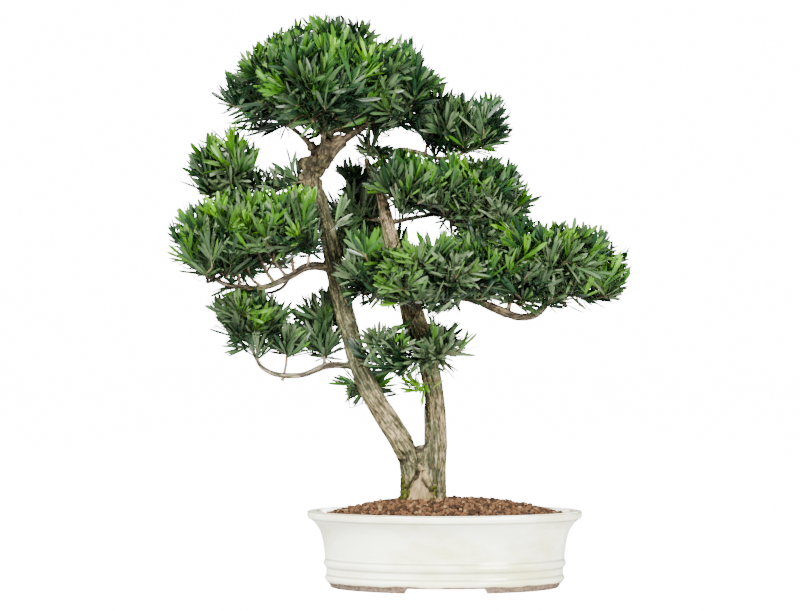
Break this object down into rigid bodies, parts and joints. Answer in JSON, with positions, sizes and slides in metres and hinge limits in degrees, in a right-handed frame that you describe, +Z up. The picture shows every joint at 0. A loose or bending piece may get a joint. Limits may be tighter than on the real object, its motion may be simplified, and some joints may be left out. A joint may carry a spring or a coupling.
{
  "type": "podocarpus bonsai",
  "caption": "Podocarpus bonsai with a leaning twin stem, tapering boughs and dense masses of narrow leaves, in an oval glazed pot filled with soil.",
  "frame": {"origin": "on the table, below the middle of the whole plant's box", "axes": "+X to the right along the pot's length, +Y away from the viewer, +Z up"},
  "size_m": [0.5504, 0.271, 0.6856],
  "materials": {
    "glaze": "glossy cream glaze",
    "soil": "coarse red-brown granules",
    "bark": "furrowed bark",
    "leaf": "glossy leaves"
  },
  "bodies": {
    "root": {"pot": "glaze", "soil": "soil", "trunk": "bark", "stem_right": "bark", "bough_right_low": "bark", "bough_right_pad": "bark", "bough_right_inner": "bark", "bough_right_rise": "bark", "bough_right_middle": "bark", "bough_right_back": "bark", "bough_upper_right": "bark", "bough_upper_right_twig": "bark", "bough_left_middle": "bark", "bough_left_middle_fork": "bark", "bough_left_middle_spur": "bark", "bough_left_rear": "bark", "bough_left_low": "bark", "bough_left_low_twig": "bark", "bough_left_upper": "bark", "bough_crown_left": "bark", "bough_crown_front": "bark", "bough_crown_back": "bark", "bough_crown_right": "bark", "bough_centre_back": "bark", "bough_back": "bark", "bough_front_left": "bark", "bough_front": "bark", "leaves_crown_left": "leaf", "leaves_crown_front": "leaf", "leaves_crown_top": "leaf", "leaves_crown_back": "leaf", "leaves_crown_right": "leaf", "leaves_upper_left": "leaf", "leaves_upper_left_spur": "leaf", "leaves_middle_left_outer": "leaf", "leaves_middle_left": "leaf", "leaves_middle_left_inner": "leaf", "leaves_middle_left_rear": "leaf", "leaves_low_left": "leaf", "leaves_low_left_inner": "leaf", "leaves_stem_sprout": "leaf", "leaves_stem_shoot": "leaf", "leaves_centre_low": "leaf", "leaves_front_left": "leaf", "leaves_front": "leaf", "leaves_centre_back": "leaf", "leaves_back": "leaf", "leaves_stem_top": "leaf", "leaves_centre": "leaf", "leaves_right_middle": "leaf", "leaves_right_outer": "leaf", "leaves_upper_right": "leaf", "leaves_upper_right_outer": "leaf", "leaves_right_inner": "leaf", "leaves_right_link": "leaf", "leaves_right_pad": "leaf", "leaves_right_pad_outer": "leaf", "leaves_right_back": "leaf", "leaves_low_left_link": "leaf"}
  },
  "joints": []
}
